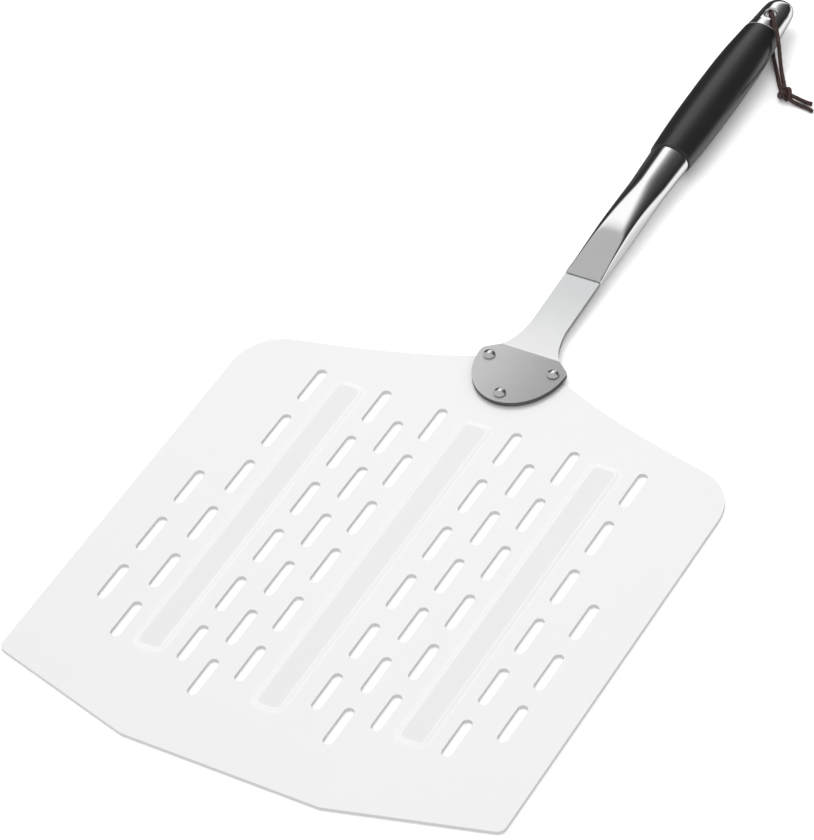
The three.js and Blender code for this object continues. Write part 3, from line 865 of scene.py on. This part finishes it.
@dataclass
class Blade:
    """The sheet: raked front, round shoulders, hollow back edge, slots in columns and three pressed ribs."""

    width: float = 305.0
    thick: float = 2.0
    front_flat: float = 120.0
    front_rake: float = 24.5
    corner: float = 4.0
    shoulder: float = 30.0
    shoulder_station: float = 263.5
    shoulder_turn: float = 78.0
    back: float = 329.5
    back_half: float = 20.0
    slot_length: float = 27.0
    slot_width: float = 6.0
    slot_pitch: float = 38.9
    slot_first: float = 264.5
    slot_stagger: float = 18.4
    # columns at +x and -x: place, first row, rows, staggered
    columns: tuple[tuple[float, int, int, bool], ...] = (
        (23.4, 0, 6, False),
        (41.2, 0, 6, True),
        (59.1, 0, 6, False),
        (100.8, 0, 6, False),
        (122.1, 2, 3, True),
    )
    rib_width: float = 20.0
    rib_rise: float = 0.6
    rib_edge: float = 3.4
    rib_corner: float = 6.0
    ribs: tuple[tuple[float, float, float], ...] = ((-80, 55, 275), (0, 44.5, 276), (80, 55, 275))
    rivets: tuple[Point2, ...] = ((-20.2, 323.5), (20.2, 323.5), (0, 299))
    rivet_hole: float = 2.3  # radius at the top
    rivet_sink: float = 3.9  # radius at the underside
    margin: float = 1.0  # width of the strip of faces along each cut edge

    def outline(self) -> list[Vector]:
        """The blade's closed outline."""
        half = self.width / 2
        flat = self.front_flat / 2
        front = along(0)
        turn = along(self.front_rake)
        rake = Vector((half - flat, self.front_rake)).normalized() * self.corner
        centre = (half - self.shoulder, along(self.shoulder_station))
        back = along(self.back)
        path = Outline(flat, front).line(half - rake.x, turn - rake.y)
        path.round((half, turn), (half, turn + self.corner), 5)
        path.arc(centre, (self.shoulder, self.shoulder), 0, self.shoulder_turn, 16)
        x, y = path.points[-1]
        path.curve((x - 32, y + 6.7), (60, back - 21), (self.back_half + 6, back - 6), 28)
        path.round((self.back_half, back), (self.back_half - 8, back), 6)
        return path.mirrored()

    def slots(self) -> list[Point2]:
        """The middle of every slot."""
        middles = []
        for x, first, count, staggered in self.columns:
            shift = self.slot_stagger if staggered else 0.0
            for row in range(first, first + count):
                y = along(self.slot_first - row * self.slot_pitch - shift)
                middles += [(x, y), (-x, y)]
        return middles

    def slot_face(self, bm: BMesh, x: float, y: float) -> BMFace:
        """A slot's face with its margin, from a circle drawn out along y."""
        radius = self.slot_width / 2
        sides = 20
        wide = radius + self.margin
        verts = bmesh.ops.create_circle(bm, cap_ends=True, radius=wide, segments=sides)["verts"]
        bmesh.ops.rotate(bm, verts=verts, matrix=Matrix.Rotation(math.pi / sides, 3, "Z"))
        reach = self.slot_length / 2 - radius
        for vert in verts:
            vert.co += Vector((x, y + math.copysign(reach, vert.co.y), 0))
        return verts[0].link_faces[0]

    def rivet_face(self, bm: BMesh, x: float, station: float) -> BMFace:
        """A rivet hole's face with its margin."""
        radius = self.rivet_sink + self.margin
        verts = bmesh.ops.create_circle(bm, cap_ends=True, radius=radius, segments=32)["verts"]
        bmesh.ops.translate(bm, verts=verts, vec=(x, along(station), 0))
        return verts[0].link_faces[0]

    def rib_face(self, bm: BMesh, x: float, start: float, stop: float) -> BMFace:
        """A rib's flat face with round corners."""
        half = self.rib_width / 2
        corners = ((-half, start), (half, start), (half, stop), (-half, stop))
        before = set(bm.faces)
        face = flat_face(bm, [Vector((x + dx, along(station))) for dx, station in corners])
        bmesh.ops.bevel(
            bm,
            geom=list(face.verts),
            offset=self.rib_corner,
            offset_type="OFFSET",
            segments=8,
            profile=0.5,
            affect="VERTICES",
            material=-1,
        )
        return next(f for f in bm.faces if f not in before)

    def press(self, bm: BMesh, face: BMFace) -> None:
        """Presses a rib's face up in an even S-shaped step."""
        steps = 10
        width = self.rib_edge / steps
        height = 0.0
        for i in range(steps):
            wanted = self.rib_rise * (1 - math.cos(math.pi * (i + 1) / steps)) / 2
            inset(bm, face, width)
            bmesh.ops.translate(bm, verts=list(face.verts), vec=(0, 0, wanted - height))
            height = wanted
            for strip in {f for v in face.verts for f in v.link_faces}:
                strip.smooth = strip is not face
                strip.material_index = 2 if strip is face else 3

    def build(self) -> None:
        """Cuts the outline, slots and holes, presses the ribs and gives the sheet its thickness."""
        bm = bmesh.new()
        sheet = flat_face(bm, self.outline())
        rim = set(sheet.edges)
        inset(bm, sheet, self.margin)
        bmesh.ops.delete(bm, geom=[sheet], context="FACES_ONLY")
        ribs = [self.rib_face(bm, *rib) for rib in self.ribs]
        holes = [self.slot_face(bm, *slot) for slot in self.slots()]
        sinks = [self.rivet_face(bm, x, station) for x, station in self.rivets]
        for face in holes + sinks:
            inset(bm, face, self.margin)
        field_edges = [e for e in bm.edges if len(e.link_faces) == 1 and e not in rim]
        bmesh.ops.triangle_fill(bm, use_beauty=True, edges=field_edges, normal=(0, 0, 1))
        for face in ribs:
            self.press(bm, face)
        face_out(bm)
        if sum(face.normal.z for face in bm.faces) < 0:
            bmesh.ops.reverse_faces(bm, faces=bm.faces)
        sink_rings = [list(face.verts) for face in sinks]
        bmesh.ops.delete(bm, geom=holes + sinks, context="FACES_ONLY")
        self.thicken(bm, sink_rings)
        bmesh.ops.translate(bm, verts=bm.verts, vec=(0, 0, self.thick))
        pressed = SatinSheet(level=0.76, roughness=0.38, variant="pressed")
        drawn = SatinSheet(level=0.80, metal=0.3, roughness=0.45, variant="drawn")
        Piece.finish(bm, "blade_sheet", [SatinSheet(), ShearedEdge(), pressed, drawn], Slot.BLADE, ["blade"])

    def thicken(self, bm: BMesh, sink_rings: Sequence[Sequence[BMVert]]) -> None:
        """Gives the sheet its thickness, narrows the rivet holes at the top and trims the cut edges."""
        flats = thicken_down(bm, self.thick)
        for ring, (x, station) in zip(sink_rings, self.rivets):
            middle = Matrix.Translation((-x, -along(station), 0))
            share = self.rivet_hole / self.rivet_sink
            bmesh.ops.scale(bm, vec=(share, share, 1), verts=list(ring), space=middle)
        face_out(bm)
        trim_walls(bm, flats, 0.22, 2)


# ---- neck strap and rivets


@dataclass
class NeckStrap:
    """The strap: a shield-shaped foot on the blade, the neck bent up from it and the tang in the bolster."""

    seat: float = 2.3  # height of its underside on the blade
    thick: float = 2.5
    foot_half: float = 27.0
    foot_length: float = 33.0
    foot_station: float = 325.5
    root_half: float = 18.0
    bend: float = 334.5
    neck_half: float = 11.0
    flare_end: float = 356.0
    neck_end: float = 396.7
    rise: float = 3.3  # degrees
    tang_half: float = 7.0
    tang_length: float = 93.0
    tang_rise: float = 1.03  # degrees
    bend_reach: float = 1.6

    def outline(self) -> list[Vector]:
        """The strap's closed flat outline."""
        foot = along(self.foot_station)
        root = along(self.bend)
        flare = along(self.flare_end)
        end = along(self.neck_end)
        tip = end + self.tang_length
        wide = self.foot_half
        path = Outline(0, foot - self.foot_length)
        path.points.clear()
        path.arc((0, foot), (wide, self.foot_length), -90, 0, 26)
        path.round((wide, foot + 3), (wide - 3, foot + 4.5), 5)
        path.line(self.root_half + 0.8, root - 0.5)
        path.round((self.root_half, root), (self.root_half - 0.3, root + 0.8), 3)
        span = flare - root
        handles = ((self.root_half - 4, root + 5), (self.neck_half + 0.8, root + span * 0.6))
        path.curve(*handles, (self.neck_half, flare), 14)
        path.line(self.neck_half, end - 1)
        path.round((self.neck_half, end), (self.neck_half - 1, end), 3)
        path.line(self.tang_half, end).line(self.tang_half, tip - 3).line(self.tang_half - 3, tip)
        return path.mirrored()

    def height(self, y: float) -> float:
        """How far the strap has risen at y: level, then sloping, through two short bends."""
        total = 0.0
        for station, change in ((self.bend, self.rise), (self.neck_end, self.tang_rise - self.rise)):
            run = y - along(station)
            reach = self.bend_reach
            eased = 0.0 if run < -reach else run if run > reach else (run + reach) ** 2 / (4 * reach)
            total += eased * math.tan(math.radians(change))
        return total

    def build(self) -> None:
        """Cuts the strap, bends it and gives it its thickness."""
        bm = bmesh.new()
        face = flat_face(bm, self.outline())
        inset(bm, face, 0.9)
        reach = self.bend_reach
        cuts = stations_between(self.bend - reach, self.bend + reach, 6)
        cuts += stations_between(self.neck_end - reach, self.neck_end + reach, 4)
        for station in cuts:
            geom = list(bm.verts) + list(bm.edges) + list(bm.faces)
            bmesh.ops.bisect_plane(bm, geom=geom, plane_co=(0, along(station), 0), plane_no=(0, 1, 0))
        if sum(f.normal.z for f in bm.faces) < 0:
            bmesh.ops.reverse_faces(bm, faces=bm.faces)
        flats = thicken_down(bm, self.thick)
        for vert in bm.verts:
            vert.co.z += self.seat + self.thick + self.height(vert.co.y)
        face_out(bm)
        for face in bm.faces:
            if abs(face.calc_center_median().y - along(self.bend)) < reach:
                face.smooth = True
        trim_walls(bm, flats, 0.3, 3)
        # painted shade, partly: the very dark cut edge on the foot also stands for the shade where the foot
        # sits on the blade
        edge = ShearedEdge(level=0.17, neck=0.48, metal=1.0, variant="strap")
        Piece.finish(bm, "strap", [BrushedStrap(), edge], Slot.STRAP, ["neck_strap"])


@dataclass
class Rivets:
    """Three rivets: domed heads on the foot, flush set heads in the blade's underside."""

    shank: float = 2.0  # radius
    head: float = 3.5
    flush: float = 3.6
    dome: float = 2.0
    seat: float = 5.1
    places: tuple[tuple[str, float, float], ...] = (
        ("left", -20.2, 323.5),
        ("right", 20.2, 323.5),
        ("front", 0.0, 299.0),
    )

    def profile(self) -> list[Point2]:
        """Half the rivet's section, from the underside's middle to the dome's top."""
        bottom = 0.05
        skirt = 0.35  # height of the head's straight rim
        points = [(0.0, bottom), (self.flush - 0.2, bottom), (self.flush, bottom + 0.15)]
        points += [(self.shank, bottom + self.flush - self.shank), (self.shank, self.seat - 0.15)]
        points += [(self.head - 0.25, self.seat - 0.22), (self.head, self.seat - 0.05)]
        points.append((self.head, self.seat + skirt))
        steps = 12
        rise = self.dome - skirt
        for i in range(1, steps + 1):
            angle = math.pi / 2 * i / steps
            points.append((self.head * math.cos(angle), self.seat + skirt + rise * math.sin(angle)))
        points[-1] = (0.0, points[-1][1])
        return points

    def build(self) -> None:
        """Spins each rivet's section round its axis."""
        for name, x, station in self.places:
            bm = spun(self.profile(), 48)
            smooth_all(bm)
            place = Matrix.Translation((x, along(station), 0))
            Piece.finish(bm, f"rivet_{name}_head", [RivetSteel()], Slot.RIVET, [f"rivet_{name}"], place=place)


# ---- handle


@dataclass
class Handle:
    """The handle on its own axis, which rises gently from the front of the grip."""

    front: float = 504.0
    axis_height: float = 10.9
    tilt: float = 1.03  # degrees
    gap: float = 0.3
    wall: float = 1.2
    tang: Point2 = (14.6, 3.1)  # the slot in the bolster's front
    bolster: tuple[Section, ...] = (
        Section(397, 11.2, 2.2, 1.85), Section(403, 10.8, 3.0, 1.8), Section(410, 10.5, 4.0, 1.6),
        Section(420, 10.3, 5.3, 1.3), Section(434, 10.2, 6.8, 0.8), Section(450, 10.3, 7.8, 0.4),
        Section(466, 10.8, 8.4, 0.2), Section(484, 11.4, 8.9), Section(504, 12.1, 9.5),
    )
    grip: tuple[Section, ...] = (
        Section(504, 12.7, 9.9), Section(508, 13.0, 10.1), Section(520, 13.6, 10.4),
        Section(535, 14.1, 10.6), Section(560, 14.3, 10.7), Section(585, 14.1, 10.5),
        Section(600, 13.5, 10.1), Section(612, 12.6, 9.5), Section(624, 11.6, 8.8),
    )
    cap: tuple[Section, ...] = (
        Section(624, 11.4, 8.6), Section(630, 10.7, 8.1), Section(637, 10.1, 7.6),
        Section(644, 9.6, 7.1), Section(648, 8.9, 6.5), Section(651, 7.5, 5.4),
        Section(653, 5.3, 3.8), Section(654, 2.6, 1.9),
    )
    hole_station: float = 636.5
    hole_radius: float = 3.5
    mouth_round: float = 2.2

    def place(self) -> Matrix:
        """Where the handle's own frame lies, in millimetres."""
        return Matrix.Translation((0, along(self.front), self.axis_height)) @ Matrix.Rotation(
            math.radians(self.tilt), 4, "X"
        )

    def build_bolster(self) -> None:
        """The hollow bolster, flat and squarer at its mouth and round at the grip."""
        first, last = self.bolster[0].at, self.bolster[-1].at

        def square(at: float) -> float:
            """How square the section is: most at the mouth."""
            return 2.0 + 8.0 * max(0.0, 1 - (at - first) / 80) ** 1.5

        bm = bmesh.new()
        Loft(self.bolster, square).build(bm, stations_between(first, last, 70), self.front)
        self.close_front(bm)
        face_out(bm)
        bmesh.ops.solidify(bm, geom=list(bm.faces), thickness=self.wall)
        face_out(bm)
        smooth_all(bm)
        round_edges(bm, sharp_edges(bm, 55), 0.3, 3)
        Piece.finish(bm, "bolster_shell", [PolishedSteel()], Slot.POLISHED, ["bolster"], place=self.place())

    def close_front(self, bm: BMesh) -> None:
        """Closes the bolster's front round the tang's slot."""
        mouth = self.bolster[0].at - self.front
        edges = [e for e in open_edges(bm) if max(v.co.y for v in e.verts) < mouth + 0.01]
        corners = bmesh.ops.create_grid(bm, x_segments=1, y_segments=1, size=0.5)["verts"]
        slot = corners[0].link_faces[0]
        edges += slot.edges
        bmesh.ops.delete(bm, geom=[slot], context="FACES_ONLY")
        bmesh.ops.scale(bm, vec=(*self.tang, 1), verts=corners)
        bmesh.ops.rotate(bm, verts=corners, matrix=Matrix.Rotation(math.pi / 2, 3, "X"))
        bmesh.ops.translate(bm, verts=corners, vec=(0, mouth, -self.bolster[0].drop))
        bmesh.ops.triangle_fill(bm, use_beauty=True, edges=edges, normal=(0, -1, 0))

    def build_grip(self) -> None:
        """The moulded grip, with its ends rounded over."""
        bm = bmesh.new()
        ends = (self.grip[0].at + self.gap, self.grip[-1].at - self.gap)
        Loft(self.grip, lambda at: 2.12).build(bm, stations_between(*ends, 64), self.front)
        bmesh.ops.holes_fill(bm, edges=open_edges(bm), sides=0)
        face_out(bm)
        for face in bm.faces:
            face.smooth = len(face.verts) == 4
        round_edges(bm, sharp_edges(bm, 55), 0.55, 4)
        Piece.finish(bm, "grip_moulding", [MouldedPlastic()], Slot.GRIP, ["grip"], place=self.place())

    def hole_cutter(self) -> Thing:
        """A spun cutter for the hanging hole, with mouths that round out into the cap's surface."""
        loft = Loft(self.cap)
        surface = loft.at(self.hole_station).tall
        turn = self.mouth_round
        wide = self.hole_radius + turn
        quarter = []
        steps = 10
        for i in range(steps + 1):
            angle = math.pi / 2 * i / steps
            quarter.append((wide - turn * math.cos(angle), surface - turn + turn * math.sin(angle)))
        upper = [(0.0, surface + 6), (wide + 6, surface + 6), (wide + 1.5, surface + 0.05)]
        upper += reversed(quarter)
        points = upper + [(r, -z) for r, z in reversed(upper)]
        bm = spun(points, 64)
        bmesh.ops.translate(bm, verts=bm.verts, vec=(0, self.hole_station - self.front, 0))
        return placed("hole_cutter", bm)

    def build_cap(self) -> None:
        """The end cap, closed and rounded at its tip, with the hanging hole cut through it."""
        bm = bmesh.new()
        near = stations_between(self.cap[0].at, 644, 36)
        tip = self.cap[-1].at
        far = [tip - 10 * (math.cos(math.pi / 2 * i / 22)) for i in range(1, 22)]
        Loft(self.cap, lambda at: 2.1).build(bm, near + far + [tip], self.front)
        bmesh.ops.holes_fill(bm, edges=open_edges(bm), sides=0)
        face_out(bm)
        round_edges(bm, [e for e in sharp_edges(bm, 55) if e.calc_length() > 0.3], 0.35, 3)
        blank = placed("cap_blank", bm)
        cutter = self.hole_cutter()
        cut = blank.modifiers.new("hole", "BOOLEAN")
        cut.operation = "DIFFERENCE"
        cut.solver = "EXACT"
        cut.object = cutter
        bpy.context.view_layer.update()
        shown = blank.evaluated_get(bpy.context.evaluated_depsgraph_get())
        bm = bmesh.new()
        bm.from_mesh(shown.to_mesh())
        shown.to_mesh_clear()
        bpy.data.objects.remove(blank)
        bpy.data.objects.remove(cutter)
        bmesh.ops.remove_doubles(bm, verts=bm.verts, dist=1e-3)
        smooth_all(bm)
        for edge in bm.edges:
            edge.smooth = len(edge.link_faces) != 2 or edge.calc_face_angle(0) < math.radians(40)
        Piece.finish(bm, "end_cap_shell", [PolishedSteel()], Slot.POLISHED, ["end_cap"], place=self.place())

    def dress_core(self) -> None:
        """Gives the block, pin and rod inside the handle their finish."""
        for name in ("tang_block", "tang_pin", "tie_rod"):
            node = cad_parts[name]
            for place in node.material_slots:
                place.material = MachinedSteel().material()
            LOG.info("%s keeps its shape", name)

    def build(self) -> None:
        """Makes the handle's pieces from the blade's end to the lace's."""
        self.build_bolster()
        self.build_grip()
        self.build_cap()
        self.dress_core()


# ---- studio


@dataclass
class Studio:
    """A pale floor under an even white sky, with darker stretches that only polished metal shows."""

    floor_level: float = 0.93
    floor_size: float = 30.0
    sky: float = 1.15

    def build_floor(self) -> None:
        """A wide pale floor, seen from above only."""
        bm = bmesh.new()
        bmesh.ops.create_grid(bm, x_segments=2, y_segments=2, size=self.floor_size / 2)
        bmesh.ops.translate(bm, verts=bm.verts, vec=(0, 0, -0.0002))
        floor = placed("floor", bm)
        paper = bpy.data.materials.new("floor_paper")
        paper.use_nodes = True
        shader = Shader(paper.node_tree)
        cloud = shader.noise((0.002, 0.002, 0.002), 1.0)
        colour = shader.mix(cloud, grey(self.floor_level * 0.995), grey(self.floor_level))
        matt = shader.node("ShaderNodeBsdfDiffuse", {}, {"Color": colour})
        clear = shader.node("ShaderNodeBsdfTransparent")
        behind = shader.node("ShaderNodeNewGeometry", output="Backfacing")
        made = shader.node("ShaderNodeMixShader", {}, {0: behind, 1: matt, 2: clear})
        shader.node_out("ShaderNodeOutputMaterial", made)
        floor.data.materials.append(paper)
        floor.visible_glossy = False

    def build_sky(self) -> None:
        """The world: white for the eye and for matt surfaces, banded for reflections."""
        world = bpy.data.worlds.new("studio")
        bpy.context.scene.world = world
        world.use_nodes = True
        shader = Shader(world.node_tree)
        way = shader.node("ShaderNodeTexCoord", output="Generated")
        x, y, z = (shader.node("ShaderNodeSeparateXYZ", {}, {0: way}, i) for i in range(3))
        # the angle round the handle, from straight up towards +X, as a share of a full turn
        angle = shader.node("ShaderNodeMath", {"operation": "ARCTAN2"}, {0: x, 1: z})
        turn = angle / math.tau + 0.5 + y.ramp(0.66, 0.82, 0.0, 0.045)
        bands = (
            (-180, 0.12), (-104, 0.08), (-62, 0.02), (-49, 0.08), (-41, 1.05), (-23, 1.12),
            (-15, 0.72), (-7, 0.36), (8, 0.14), (26, 0.07), (50, 0.042), (78, 0.02),
            (91, 0.05), (99, 0.45), (109, 1.0), (138, 0.95), (156, 0.58), (180, 0.40),
        )
        stops = [((degrees + 180) / 360, level) for degrees, level in bands]
        ring = shader.node("ShaderNodeValToRGB", {"stops": stops}, {0: turn})
        far = y.ramp(0.41, 0.50)
        over = z.ramp(-0.5, 0.6, 0.60, 0.50)
        plain = shader.node("ShaderNodeCombineColor", {}, {0: over, 1: over, 2: over})
        mirrored = shader.mix(far, plain, ring)
        glossy = shader.node("ShaderNodeLightPath", output="Is Glossy Ray")
        colour = shader.mix(glossy, grey(self.sky), mirrored)
        shader.node_out("ShaderNodeOutputWorld", shader.node("ShaderNodeBackground", {}, {"Color": colour}))

    def build_light(self) -> None:
        """A large soft light overhead, which gives the pieces their faint shadows."""
        data = bpy.data.lights.new("soft_box", "AREA")
        data.shape = "SQUARE"
        data.size = 2.4
        data.energy = 45.0
        light = bpy.data.objects.new("soft_box", data)
        bpy.context.scene.collection.objects.link(light)
        spot = Vector((-1.2, 0.9, 2.6))
        light.matrix_world = Matrix.Translation(spot) @ (-spot).to_track_quat("-Z", "Y").to_matrix().to_4x4()
        light.visible_glossy = False

    def build(self) -> None:
        """Makes the floor, the sky and the light."""
        bpy.context.scene.view_settings.view_transform = "Standard"
        self.build_floor()
        self.build_sky()
        self.build_light()


# ---- the peel


def main() -> None:
    logging.basicConfig(level=logging.INFO, format="%(name)s: %(message)s")
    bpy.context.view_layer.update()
    Camera().build()
    Lace().build()
    Blade().build()
    NeckStrap().build()
    Rivets().build()
    Handle().build()
    Studio().build()


if __name__ == "__main__":
    main()
